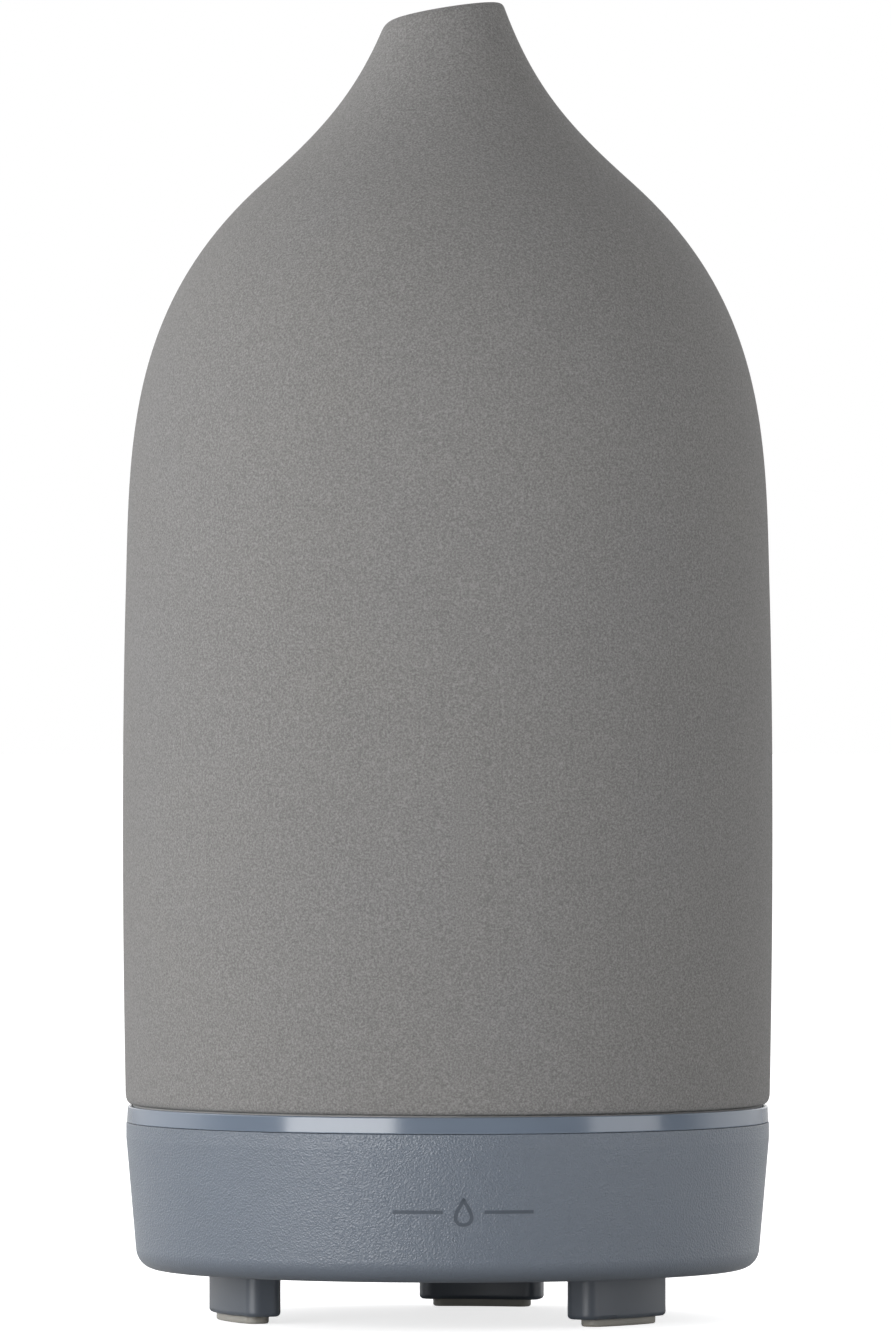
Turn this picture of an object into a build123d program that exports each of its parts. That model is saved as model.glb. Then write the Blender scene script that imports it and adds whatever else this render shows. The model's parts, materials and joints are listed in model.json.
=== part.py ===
from build123d import *
import os
from math import cos, radians, sin, tan

# Ultrasonic essential oil diffuser: a bottle-shaped stoneware cover over a plastic base that holds the
# water bowl, the mist transducer, a fan and the electronics.
# Millimetres, +Z up, floor at z = 0, origin on the axis. The front faces -Y and the right side +X.
# Places round the axis are (radius, angle) with the angle in degrees from the front towards the right.

# Cover
COVER_R = 43.6
COVER_FOOT_Z = 29.0
COVER_FOOT_R = 42.8
COVER_EASE_Z = 30.6
COVER_EASE = [(COVER_FOOT_R, COVER_FOOT_Z), (43.35, 29.05), (COVER_R, 29.7), (COVER_R, COVER_EASE_Z)]
COVER_BELLY = (43.95, 60.0)
COVER_SHOULDER_Z = 97.0
COVER_SHOULDER = [(COVER_R, COVER_SHOULDER_Z), (43.0, 117.0), (44.0, 136.5), (25.0, 153.5)]
COVER_NECK = [(25.0, 153.5), (15.5, 162.0), (10.0, 168.0), (5.5, 184.0)]
BORE_FOOT_R = 39.9
BORE_CHAMFER = 0.6
BORE_SHOULDER = [(39.7, COVER_SHOULDER_Z), (39.5, 116.0), (39.0, 137.0), (23.0, 150.0)]
BORE_NECK = [(23.0, 150.0), (17.0, 154.9), (4.5, 169.0), (4.0, 184.0)]
MOUTH_Z = 176.75
MOUTH_TILT = 9.5
MOUTH_HIGH_SIDE = 69.0
MOUTH_ROUND = 1.1

# Seat ring in the deck's groove
SEAT_OUTER_R = 42.6
SEAT_INNER_R = 40.6
SEAT_Z = 27.95

# Base shell
WALL = 2.0
FLOOR_Z = 6.7
FLOOR_TOP = FLOOR_Z + WALL
BASE_FOOT_R = 41.95
BASE_R = 43.5
BASE_KNEE_Z = 24.5
BASE_TOP = 26.5
BASE_EDGE = 2.8
SHELL_INNER_R = 40.2
LEDGE_Z = 22.0
LAP_R = 41.5
SEAM_ROUND = 0.12

# Feet and pads
FOOT_ANGLES = (-72.0, 48.0, 168.0)
FOOT_R = 30.0
FOOT_DEPTH = 5.0
FOOT_WIDTH = 17.0
FOOT_Z = 1.0
FOOT_CORNER = 1.7
PAD_DEPTH = 3.4
PAD_WIDTH = 13.5
PAD_CORNER = 1.4
PAD_SINK = 0.8

# Tank housing: trim band, deck and bowl in one moulding
DECK_BOTTOM = 26.55
DECK_TOP = 28.75
BAND_R = 43.43
BAND_TOP_R = 43.29
GROOVE_R = (40.4, 42.8)
SPIGOT_R = (38.0, 39.4)
SPIGOT_TOP = 33.0
BOWL_INNER_R = 33.5
BOWL_OUTER_R = 36.0
RIM_Z = 84.0
BOWL_FLOOR_Z = 49.0
WELL_R = 12.0
WELL_EDGE_Z = 45.0
WELL_Z = 42.5
CLAMP_R = 18.0
CLAMP_Z = 39.6
FILL_LINE_Z = 73.0

# Air tower, a tube welded into a hole in the bowl's floor
TOWER = (25.0, 4.0)
TOWER_R = 5.5
TOWER_GAP = 0.05
TOWER_BORE_R = 4.0
TOWER_FOOT_Z = 41.0
TOWER_TOP = 82.0
TOWER_WINDOW_Z = (75.5, 80.0)

# Inner lid
LID_SKIRT_Z = 79.0
LID_SKIRT_R = 33.2
LID_FLANGE_R = 35.5
LID_FLANGE_TOP = 86.0
LID_WALL = 1.5
CHIMNEY_BASE_Z = 104.0
CHIMNEY_TOP = 121.0

# Housing screws, in line through the base shell's wells and the housing's posts
POST_ANGLES = (20, 140, 260)
POST_R = 35.0
POST_FOOT_Z = 14.0
POST_BOSS_R = 3.5
PILOT_TOP = 24.0
SCREW_SEAT_Z = 11.5

# Fan
FAN = (18.0, 4.0)
FAN_SIDE = 30.0
FAN_Z = 9.7
FAN_TOP = 19.7
FAN_BORE_R = 14.0
FAN_HOLE = 12.0
BLADES = 7
BLADE_R = 13.4
HUB_R = 6.4
MAGNET_OUTER_R = 5.7
STATOR_Z = (12.0, 15.2)
SHAFT_R = 0.75
BEARING_R = 1.6
SPOKE_DEPTH = 1.2

# Air duct from the fan to the tower's foot
DUCT_PLATE = 1.2
DUCT_WALL = 1.2
DUCT_R = 13.0
DUCT_NECK_R = 4.6
DUCT_NECK_Z = 37.0
DUCT_COLLAR_R = 7.0

# Main board and its supports
BOARD_Z = 22.0
BOARD_TOP = 23.6
BOARD_R = 37.0
STANDOFFS = ((-8.0, -26.0), (-30.0, -12.0), (-26.0, 18.0))

# Power socket in the cord recess of the underside
JACK = (-12.0, 14.0)
RECESS_X = (-17.0, -7.0)
RECESS_Y = (8.0, 28.0)
RECESS_TOP = 11.7
JACK_SIDE = 11.0
JACK_BORE_R = 2.9
JACK_ROOF_Z = 20.7
PIN_R = 1.05
PIN_TIP_Z = 14.7
LEAD_R = 0.5

# Push buttons at the rear
BUTTON_X = {"mist": 9.0, "light": -9.0}
BUTTON_Z = 17.5
BUTTON_R = 3.2
BUTTON_FACE_R = 43.35
BUTTON_FLANGE_R = 4.3
BUTTON_FLANGE_Y = 36.4
SWITCH_Y = (32.4, 35.4)
PLUNGER_R = 1.7
PLUNGER_Y = 33.9
BUTTON_BOARD_Y = 30.8

# Transducer stack under the well
DISC_R = 10.0
DISC_Z = (40.1, 40.8)
SEAL_R = 11.5
SEAL_TOP = 41.3
SEAL_WINDOW_R = 8.0
CLAMP_PLATE_Z = 38.4
CLAMP_SCREW_R = 14.0
CLAMP_ANGLES = (60, 180, 300)

# Night light
LIGHT_R = 22.0
LENS_ANGLES = (205, 270, 335)
LENS_R = 2.4
LENS_FLANGE_R = 3.1
LENS_FLANGE_Z = 42.6
LENS_TOP = 47.6
LED_SCREW_ANGLES = (238, 302)
LED_BOARD_Z = 38.6
LED_BOARD_TOP = 39.8

WIRE_R = 0.45
LEAD_CROSS_Z = 33.0
CONNECTOR_HEIGHT = 4.4

# Screws: length under the head, shank radius, head radius, head height
BASE_SCREW = (11.5, 1.3, 2.6, 1.9)
FAN_SCREW = (13.2, 1.2, 2.2, 1.3)
CLAMP_SCREW = (4.2, 1.2, 2.3, 1.4)
LIGHT_SCREW = (5.0, 1.1, 2.0, 1.2)
BOARD_SCREW = (7.5, 1.1, 2.1, 1.3)


# ---- small builders ----

def polar(radius, angle):
    return radius * sin(radians(angle)), -radius * cos(radians(angle))


def disc(radius, z0, z1, centre=(0, 0)):
    low = (Align.CENTER, Align.CENTER, Align.MIN)
    return Pos(*centre, z0) * Cylinder(radius, z1 - z0, align=low)


def ring(outer, inner, z0, z1, centre=(0, 0)):
    return disc(outer, z0, z1, centre) - disc(inner, z0, z1, centre)


def block(x, y, z):
    size = [high - low for low, high in (x, y, z)]
    return Pos(*[(low + high) / 2 for low, high in (x, y, z)]) * Box(*size)


def along_y(radius, y0, y1, x, z):
    return Pos(x, (y0 + y1) / 2, z) * Rot(90, 0, 0) * Cylinder(radius, y1 - y0)


def turned(*points):
    outline = Polyline(*[(r, 0, z) for r, z in points], close=True)
    return revolve(make_face(outline), Axis.Z)


def curve(points):
    return Bezier(*[(r, 0, z) for r, z in points])


def run(*points):
    return Polyline(*[(r, 0, z) for r, z in points])


def fan_corners(centre=FAN):
    """The fan's four screw places."""
    return [(centre[0] + i * FAN_HOLE, centre[1] + j * FAN_HOLE) for i in (-1, 1) for j in (-1, 1)]


def circles(shape, radius, z):
    """The circular edges of this radius round the axis at this height."""
    found = shape.edges().filter_by(GeomType.CIRCLE)
    return [e for e in found if abs(e.radius - radius) < 0.01 and abs(e.center().Z - z) < 0.01]


def screw(centre, under_head, length, shank_r, head_r, head, head_down=False):
    """Cross-head screw. The head is above under_head, or below it with head_down."""
    shank = disc(shank_r, under_head - length, under_head, centre)
    top = disc(head_r, under_head, under_head + head, centre)
    top = fillet(top.edges().group_by(Axis.Z)[-1], head * 0.35)
    slots = [Pos(*centre, under_head + head) * Rot(0, 0, a) * Box(head_r * 1.2, 0.6, head) for a in (0, 90)]
    made = shank + (top - slots)
    if head_down:
        made = Pos(0, 0, 2 * under_head) * Rot(180, 0, 0) * Pos(0, -2 * centre[1], 0) * made
    return made


def wires(starts, points, bend):
    """One tube per start point, along the same relative points."""
    made = []
    for start in starts:
        path = FilletPolyline(*[Vector(*start) + Vector(*p) for p in points], radius=bend)
        made.append(sweep(Plane(origin=path @ 0, z_dir=path % 0) * Circle(WIRE_R), path))
    return made


def arc_block(radius, depth, width, corner, z0, z1):
    """A block at the front that follows the circle of this radius, with rounded corners."""
    outer, inner = Circle(radius + depth / 2), Circle(radius - depth / 2)
    plan = (outer - inner) & (Pos(0, -radius) * Rectangle(width, 3 * depth))
    plan = fillet(plan.vertices(), corner)
    return Pos(0, 0, z0) * extrude(plan, z1 - z0)


# ---- cover ----

def stone_cover():
    belly = ThreePointArc(
        (COVER_R, 0, COVER_EASE_Z), (COVER_BELLY[0], 0, COVER_BELLY[1]), (COVER_R, 0, COVER_SHOULDER_Z)
    )
    outside = [curve(COVER_EASE), belly, curve(COVER_SHOULDER), curve(COVER_NECK)]
    bore_foot = [
        BORE_SHOULDER[0],
        (BORE_FOOT_R, COVER_FOOT_Z + BORE_CHAMFER),
        (BORE_FOOT_R + BORE_CHAMFER, COVER_FOOT_Z),
        (COVER_FOOT_R, COVER_FOOT_Z),
    ]
    inside = [curve(BORE_SHOULDER), curve(BORE_NECK), run(*bore_foot)]
    top = run(COVER_NECK[-1], BORE_NECK[-1])
    body = revolve(make_face(Curve() + outside + inside + top), Axis.Z)
    high_x, high_y = polar(tan(radians(MOUTH_TILT)), MOUTH_HIGH_SIDE)
    mouth = Plane(origin=(0, 0, MOUTH_Z), z_dir=(-high_x, -high_y, 1))
    body -= mouth * Pos(0, 0, 15) * Box(60, 60, 30)
    rim = body.edges().filter_by_position(Axis.Z, MOUTH_Z - 4, MOUTH_Z + 4)
    return fillet(rim, MOUTH_ROUND)


def cover_seat_ring():
    seat = ring(SEAT_OUTER_R, SEAT_INNER_R, SEAT_Z, COVER_FOOT_Z)
    return fillet(circles(seat, SEAT_OUTER_R, COVER_FOOT_Z) + circles(seat, SEAT_INNER_R, COVER_FOOT_Z), 0.2)


# ---- inner lid ----

def inner_lid():
    dome_out = [(33.8, LID_FLANGE_TOP), (32.0, 95.0), (13.0, 93.0), (9.0, CHIMNEY_BASE_Z)]
    dome_in = [(7.3, CHIMNEY_BASE_Z), (11.4, 91.6), (30.4, 93.2), (LID_SKIRT_R - LID_WALL, 85.0)]
    outside = run(
        (LID_SKIRT_R, LID_SKIRT_Z),
        (LID_SKIRT_R, RIM_Z),
        (LID_FLANGE_R, RIM_Z),
        (LID_FLANGE_R, LID_FLANGE_TOP),
        dome_out[0],
    )
    chimney = run(dome_out[-1], (7.6, CHIMNEY_TOP), (5.9, CHIMNEY_TOP), dome_in[0])
    skirt = run(dome_in[-1], (LID_SKIRT_R - LID_WALL, LID_SKIRT_Z), (LID_SKIRT_R, LID_SKIRT_Z))
    body = revolve(make_face(Curve() + [outside, curve(dome_out), chimney, curve(dome_in), skirt]), Axis.Z)
    body = fillet(circles(body, 7.6, CHIMNEY_TOP) + circles(body, 5.9, CHIMNEY_TOP), 0.7)
    return fillet(circles(body, LID_FLANGE_R, LID_FLANGE_TOP) + circles(body, LID_FLANGE_R, RIM_Z), 0.6)


# ---- tank housing ----

def bowl_and_deck():
    body = turned(
        (BOWL_INNER_R, DECK_BOTTOM),
        (LAP_R - 1.2, DECK_BOTTOM),
        (LAP_R - 1.2, LEDGE_Z + 0.8),
        (LAP_R - 0.1, LEDGE_Z + 0.8),
        (LAP_R - 0.1, DECK_BOTTOM),
        (BAND_R, DECK_BOTTOM),
        (BAND_TOP_R, DECK_TOP),
        (GROOVE_R[1], DECK_TOP),
        (GROOVE_R[1], SEAT_Z),
        (GROOVE_R[0], SEAT_Z),
        (GROOVE_R[0], DECK_TOP),
        (SPIGOT_R[1], DECK_TOP),
        (SPIGOT_R[1], SPIGOT_TOP),
        (SPIGOT_R[0], SPIGOT_TOP),
        (SPIGOT_R[0], DECK_TOP),
        (BOWL_OUTER_R, DECK_TOP),
        (BOWL_OUTER_R, RIM_Z),
        (BOWL_INNER_R, RIM_Z),
        (BOWL_INNER_R, BOWL_FLOOR_Z),
        (WELL_R, WELL_EDGE_Z),
        (WELL_R, WELL_Z),
        (SEAL_WINDOW_R, WELL_Z),
        (SEAL_WINDOW_R, SEAL_TOP),
        (SEAL_R, SEAL_TOP),
        (SEAL_R, CLAMP_Z),
        (CLAMP_R, CLAMP_Z),
        (CLAMP_R, WELL_EDGE_Z - 1.3),
        (BOWL_INNER_R, BOWL_FLOOR_Z - 2.4),
    )
    body = fillet(circles(body, BOWL_INNER_R, BOWL_FLOOR_Z), 3.0)
    body = fillet(circles(body, WELL_R, WELL_EDGE_Z), 1.0)
    body = fillet(circles(body, BOWL_OUTER_R, RIM_Z) + circles(body, BOWL_INNER_R, RIM_Z), 0.7)
    body = fillet(circles(body, SPIGOT_R[1], SPIGOT_TOP) + circles(body, SPIGOT_R[0], SPIGOT_TOP), 0.4)
    body = fillet(circles(body, BAND_TOP_R, DECK_TOP), 0.2)
    return fillet(circles(body, BAND_R, DECK_BOTTOM), SEAM_ROUND)


def tank_housing():
    body = bowl_and_deck()
    ridge = 0.4
    body += ring(BOWL_INNER_R + 0.2, BOWL_INNER_R - 0.35, FILL_LINE_Z - ridge, FILL_LINE_Z + ridge)
    body -= disc(TOWER_R + TOWER_GAP, TOWER_FOOT_Z, FILL_LINE_Z, TOWER)
    for angle in POST_ANGLES:
        body += disc(POST_BOSS_R, POST_FOOT_Z, DECK_BOTTOM + 0.5, polar(POST_R, angle))
        body -= disc(BASE_SCREW[1], POST_FOOT_Z, PILOT_TOP, polar(POST_R, angle))
    for angle in LED_SCREW_ANGLES:
        body += disc(2.6, LED_BOARD_TOP, WELL_EDGE_Z, polar(LIGHT_R, angle))
        body -= disc(LIGHT_SCREW[1], LED_BOARD_TOP, WELL_EDGE_Z - 1, polar(LIGHT_R, angle))
    body -= [disc(CLAMP_SCREW[1], CLAMP_Z, CLAMP_Z + 3.3, polar(CLAMP_SCREW_R, a)) for a in CLAMP_ANGLES]
    body -= [disc(LENS_R, LENS_FLANGE_Z, LENS_TOP + 1, polar(LIGHT_R, angle)) for angle in LENS_ANGLES]
    return body


def air_tower():
    """Tube that brings the fan's air up past the water, closed on top, with a window towards the axis."""
    tower = disc(TOWER_R, TOWER_FOOT_Z, TOWER_TOP, TOWER)
    tower = fillet(tower.edges().group_by(Axis.Z)[-1], 1.2)
    window = block((TOWER[0] - 8, TOWER[0]), (TOWER[1] - 3, TOWER[1] + 3), TOWER_WINDOW_Z)
    return tower - [disc(TOWER_BORE_R, TOWER_FOOT_Z, TOWER_TOP - 1.6, TOWER), window]


def deck_gasket():
    return ring(LAP_R - 0.1, SHELL_INNER_R + 0.1, LEDGE_Z, LEDGE_Z + 0.8)


# ---- base shell ----

def shell_pan():
    pan = turned(
        (0, FLOOR_Z),
        (BASE_FOOT_R, FLOOR_Z),
        (BASE_R, BASE_KNEE_Z),
        (BASE_R, BASE_TOP),
        (LAP_R, BASE_TOP),
        (LAP_R, LEDGE_Z),
        (SHELL_INNER_R, LEDGE_Z),
        (SHELL_INNER_R, FLOOR_TOP),
        (0, FLOOR_TOP),
    )
    pan = fillet(circles(pan, BASE_FOOT_R, FLOOR_Z), BASE_EDGE)
    return fillet(circles(pan, BASE_R, BASE_TOP), SEAM_ROUND)


def foot():
    made = arc_block(FOOT_R, FOOT_DEPTH, FOOT_WIDTH, FOOT_CORNER, FOOT_Z, FLOOR_Z + 1)
    made = fillet(made.edges().group_by(Axis.Z)[0], 0.6)
    return made - arc_block(FOOT_R, PAD_DEPTH + 0.1, PAD_WIDTH + 0.1, PAD_CORNER, FOOT_Z, FOOT_Z + PAD_SINK)


def vent_slots():
    """Parallel air inlets under the fan, each as long as the fan's throat is wide there."""
    throat, pitch, width = FAN_BORE_R - 1.5, 3.0, 1.6
    slots = []
    for row in range(-4, 5):
        half = (throat**2 - (row * pitch) ** 2) ** 0.5
        slot = extrude(SlotOverall(2 * half, width), 2 * WALL + 1)
        slots.append(Pos(FAN[0], FAN[1] + row * pitch, FLOOR_Z - 1) * slot)
    return slots


def board_rail(side):
    """Slotted rib that holds one end of the button board."""
    x = sorted((side * 12.8, side * 16.2))
    groove_x = sorted((side * 12.0, side * 14.1))
    groove = block(groove_x, (BUTTON_BOARD_Y - 0.05, SWITCH_Y[0] + 0.05), (11.0, 30.0))
    return block(x, (29.2, 34.0), (FLOOR_TOP - 0.5, 21.0)) - groove


def base_shell():
    body = shell_pan()
    body += [Rot(0, 0, angle) * foot() for angle in FOOT_ANGLES]
    body += [disc(3.0, FLOOR_Z + 1, FAN_Z, corner) for corner in fan_corners()]
    body += [disc(4.0, FLOOR_Z + 1, POST_FOOT_Z, polar(POST_R, a)) for a in POST_ANGLES]
    body += [disc(3.0, FLOOR_Z + 1, BOARD_Z, place) for place in STANDOFFS]
    body += [board_rail(side) for side in (-1, 1)]
    body += block(
        (RECESS_X[0] - WALL, RECESS_X[1] + WALL),
        (RECESS_Y[0] - WALL, RECESS_Y[1] + WALL),
        (FLOOR_Z + 1, RECESS_TOP + WALL),
    )
    recess = block(RECESS_X, RECESS_Y, (FLOOR_Z - 1, RECESS_TOP))
    body -= fillet(recess.edges().filter_by(Axis.Z), 2.0)
    body -= disc(JACK_BORE_R + 0.5, RECESS_TOP - 1, RECESS_TOP + WALL + 1, JACK)
    body -= vent_slots()
    body -= [disc(FAN_SCREW[1], FLOOR_Z + 0.6, FAN_Z, corner) for corner in fan_corners()]
    body -= [disc(BOARD_SCREW[1], BOARD_Z - 7, BOARD_Z, place) for place in STANDOFFS]
    for angle in POST_ANGLES:
        well = polar(POST_R, angle)
        body -= [disc(2.9, FLOOR_Z - 1, SCREW_SEAT_Z, well), disc(1.6, SCREW_SEAT_Z - 0.5, POST_FOOT_Z, well)]
    for x in BUTTON_X.values():
        body -= along_y(BUTTON_R + 0.15, BUTTON_FLANGE_Y, BASE_R + 2, x, BUTTON_Z)
    return body


def foot_pads():
    pad = arc_block(FOOT_R, PAD_DEPTH, PAD_WIDTH, PAD_CORNER, 0, FOOT_Z + PAD_SINK)
    pad = fillet(pad.edges().group_by(Axis.Z)[0], 0.35)
    return [Rot(0, 0, angle) * pad for angle in FOOT_ANGLES]


# ---- buttons ----

def button(x):
    cap = along_y(BUTTON_R, BUTTON_FLANGE_Y, BASE_R + 2, x, BUTTON_Z) & disc(BUTTON_FACE_R, 0, BASE_TOP)
    cap = fillet(cap.faces().sort_by(Axis.Y)[-1].edges(), 0.35)
    return cap + along_y(BUTTON_FLANGE_R, BUTTON_FLANGE_Y, BUTTON_FLANGE_Y + 1.1, x, BUTTON_Z)


def switch(x):
    body = block((x - 3, x + 3), SWITCH_Y, (BUTTON_Z - 3, BUTTON_Z + 3))
    return body - along_y(PLUNGER_R + 0.15, SWITCH_Y[0] + 0.8, SWITCH_Y[1] + 1, x, BUTTON_Z)


def switch_plunger(x):
    return along_y(PLUNGER_R, PLUNGER_Y, BUTTON_FLANGE_Y, x, BUTTON_Z)


def button_board():
    return block((-14.0, 14.0), (BUTTON_BOARD_Y, SWITCH_Y[0]), (11.0, 24.0))


# ---- fan and air duct ----

def fan_frame():
    plan = RectangleRounded(FAN_SIDE, FAN_SIDE, 2.5) - Circle(FAN_BORE_R)
    plan -= [Pos(*corner) * Circle(1.5) for corner in fan_corners((0, 0))]
    frame = Pos(*FAN, FAN_Z) * extrude(plan, FAN_TOP - FAN_Z)
    spokes = Circle(HUB_R)
    for angle in (90, 210, 330):
        spokes += Rot(0, 0, angle) * Pos(10.2, 0) * Rectangle(8.4, 1.6)
    return frame + Pos(*FAN, FAN_Z) * extrude(spokes, SPOKE_DEPTH)


def fan_bearing():
    return ring(BEARING_R, SHAFT_R + 0.05, FAN_Z + SPOKE_DEPTH, 16.0, FAN)


def stator_arm(z0, z1):
    shoe = ring(4.8, 4.2, z0, z1) & block((3, 6), (-2.2, 2.2), (z0, z1))
    return block((2.5, 4.4), (-0.5, 0.5), (z0, z1)) + shoe


def fan_stator():
    core = ring(2.9, BEARING_R, *STATOR_Z)
    core += [Rot(0, 0, a) * stator_arm(*STATOR_Z) for a in range(0, 360, 90)]
    return Pos(*FAN) * core


def fan_windings():
    low, high = STATOR_Z
    coil = block((3.0, 3.95), (-1.2, 1.2), (low - 0.5, high + 0.5))
    coil -= block((2, 5), (-0.55, 0.55), (low - 0.05, high + 0.05))
    return [Pos(*FAN) * Rot(0, 0, a) * coil for a in range(0, 360, 90)]


def fan_rotor():
    hub = disc(HUB_R, 11.6, 18.4) - disc(MAGNET_OUTER_R, 11.6, 17.4)
    hub = fillet(circles(hub, HUB_R, 18.4), 0.8)
    sweep_room = ring(BLADE_R, HUB_R - 0.3, 11.9, 18.2)
    blade = Pos(10, 0, 15.05) * Rot(42, 0, 0) * Box(8, 0.9, 12) & sweep_room
    hub += [Rot(0, 0, 360 * n / BLADES) * blade for n in range(BLADES)]
    return Pos(*FAN) * hub


def rotor_magnet():
    return ring(MAGNET_OUTER_R, 5.0, 11.8, 16.8, FAN)


def fan_shaft():
    return disc(SHAFT_R, 11.3, 17.4, FAN)


def fan_corner_screws():
    return [screw(corner, FAN_TOP + DUCT_PLATE, *FAN_SCREW) for corner in fan_corners()]


def air_duct():
    """Flange over the fan, a cone that leans outwards, and a collar that takes the tower's foot."""
    plate_top, collar_top = FAN_TOP + DUCT_PLATE, TOWER_FOOT_Z + 2.0
    plate = RectangleRounded(FAN_SIDE, FAN_SIDE, 2.5)
    plate -= [Pos(*corner) * Circle(1.4) for corner in fan_corners((0, 0))]
    body = Pos(*FAN, FAN_TOP) * extrude(plate, DUCT_PLATE)
    wide, narrow = Pos(*FAN, plate_top), Pos(*TOWER, DUCT_NECK_Z)
    body += loft([wide * Circle(DUCT_R + DUCT_WALL), narrow * Circle(DUCT_COLLAR_R)])
    body += disc(DUCT_COLLAR_R, DUCT_NECK_Z, collar_top, TOWER)
    body -= disc(DUCT_R, FAN_TOP, plate_top, FAN)
    body -= loft([wide * Circle(DUCT_R), narrow * Circle(DUCT_NECK_R)])
    body -= disc(DUCT_NECK_R, DUCT_NECK_Z, TOWER_FOOT_Z, TOWER)
    return body - disc(TOWER_R + TOWER_GAP, TOWER_FOOT_Z, collar_top, TOWER)


# ---- transducer ----

def transducer_disc():
    return disc(DISC_R, *DISC_Z)


def transducer_seal():
    lip = SEAL_WINDOW_R + 0.6
    return turned(
        (SEAL_R, CLAMP_Z),
        (SEAL_R, SEAL_TOP),
        (lip, SEAL_TOP),
        (lip, DISC_Z[1]),
        (DISC_R, DISC_Z[1]),
        (DISC_R, DISC_Z[0]),
        (lip, DISC_Z[0]),
        (lip, CLAMP_Z),
    )


def transducer_retainer():
    plate = ring(17.0, 7.0, CLAMP_PLATE_Z, CLAMP_Z)
    return plate - [disc(1.35, CLAMP_PLATE_Z, CLAMP_Z, polar(CLAMP_SCREW_R, a)) for a in CLAMP_ANGLES]


def transducer_screws():
    places = [polar(CLAMP_SCREW_R, a) for a in CLAMP_ANGLES]
    return [screw(p, CLAMP_PLATE_Z, *CLAMP_SCREW, head_down=True) for p in places]


# ---- night light ----

def led_board():
    body = ring(25.5, 19.0, LED_BOARD_Z, LED_BOARD_TOP) & block((-30, -2), (-30, 30), (30, 50))
    return body - [disc(1.3, LED_BOARD_Z, LED_BOARD_TOP, polar(LIGHT_R, a)) for a in LED_SCREW_ANGLES]


def light_emitters():
    chip = block((-1.75, 1.75), (-1.75, 1.75), (LED_BOARD_TOP, LED_BOARD_TOP + 1.2))
    return [Pos(*polar(LIGHT_R, a)) * chip for a in LENS_ANGLES]


def light_lenses():
    lens = disc(LENS_R, LENS_FLANGE_Z, LENS_TOP) + disc(LENS_FLANGE_R, LENS_FLANGE_Z, LENS_FLANGE_Z + 1)
    lens = fillet(circles(lens, LENS_R, LENS_TOP), 0.5)
    return [Pos(*polar(LIGHT_R, a)) * lens for a in LENS_ANGLES]


def led_board_screws():
    places = [polar(LIGHT_R, a) for a in LED_SCREW_ANGLES]
    return [screw(p, LED_BOARD_Z, *LIGHT_SCREW, head_down=True) for p in places]


# ---- main board ----

def main_board():
    body = disc(BOARD_R, BOARD_Z, BOARD_TOP) & block((-40, 0.5), (-40, 28.5), (BOARD_Z, BOARD_TOP))
    body -= disc(4.4, BOARD_Z, BOARD_TOP, polar(POST_R, POST_ANGLES[2]))
    body -= [disc(1.3, BOARD_Z, BOARD_TOP, place) for place in STANDOFFS]
    return body - disc(LEAD_R, BOARD_Z, BOARD_TOP, JACK)


def capacitors():
    made = []
    for centre, radius, height in (((-19.0, -21.0), 4.0, 11.0), ((-27.0, 1.5), 3.2, 9.0)):
        can = disc(radius, BOARD_TOP, BOARD_TOP + height, centre)
        made.append(fillet(can.edges().group_by(Axis.Z)[-1], 0.5))
    return made


def drive_inductor():
    core = disc(4.5, BOARD_TOP, BOARD_TOP + 7.0, (-12.0, -12.0))
    return core - ring(4.5, 3.4, BOARD_TOP + 1.4, BOARD_TOP + 5.6, (-12.0, -12.0))


def heat_sink():
    z, fin = (BOARD_TOP, BOARD_TOP + 10), 1.2
    body = block((-20.0, -6.0), (10.0, 11.6), z)
    return body + [block((x, x + fin), (11.6, 17.0), z) for x in (-20, -15.7, -11.5, -7.2)]


def power_transistor():
    return block((-17.0, -9.0), (6.0, 10.0), (BOARD_TOP + 1.0, BOARD_TOP + 9.0))


def control_chip():
    chip = block((-28.0, -22.0), (7.0, 12.0), (BOARD_TOP, BOARD_TOP + 1.6))
    return chip - disc(0.4, BOARD_TOP + 1.2, BOARD_TOP + 1.6, (-27.0, 8.0))


def wire_connectors():
    centres = ((-4.0, -6.0), (-4.0, 2.0), (-16.0, 1.0), (-3.0, 24.0))
    z = (BOARD_TOP, BOARD_TOP + CONNECTOR_HEIGHT)
    return [block((x - 2, x + 2), (y - 2.5, y + 2.5), z) for x, y in centres]


def board_screws():
    return [screw(place, BOARD_TOP, *BOARD_SCREW) for place in STANDOFFS]


def base_screws():
    return [screw(polar(POST_R, a), SCREW_SEAT_Z, *BASE_SCREW, head_down=True) for a in POST_ANGLES]


def dc_jack():
    x, y, half = *JACK, JACK_SIDE / 2
    body = block((x - half, x + half), (y - half, y + half), (RECESS_TOP + WALL, BOARD_Z))
    body -= disc(JACK_BORE_R, RECESS_TOP + WALL, JACK_ROOF_Z, JACK)
    return body - disc(LEAD_R, JACK_ROOF_Z, BOARD_Z, JACK)


def dc_jack_pin():
    pin = disc(PIN_R, PIN_TIP_Z, JACK_ROOF_Z, JACK)
    pin = fillet(pin.edges().group_by(Axis.Z)[0], 0.3)
    return pin + disc(LEAD_R, JACK_ROOF_Z, BOARD_TOP + 0.8, JACK)


# ---- wiring, two leads each ----

def fan_leads():
    starts = [(FAN[0] - FAN_SIDE / 2, y, 11.2) for y in (-6.6, -5.4)]
    return wires(starts, [(0, 0, 0), (-1.25, 0, 0), (-1.25, 0, 14.8), (-5.0, 0, 14.8)], 1.0)


def lead_drop(start_z, sideways):
    """Down, sideways at the level where the leads cross, and down to the connector's top."""
    cross, end = LEAD_CROSS_Z - start_z, BOARD_TOP + CONNECTOR_HEIGHT - start_z
    return [(0, 0, 0), (0, 0, cross), (sideways, 0, cross), (sideways, 0, end)]


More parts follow.
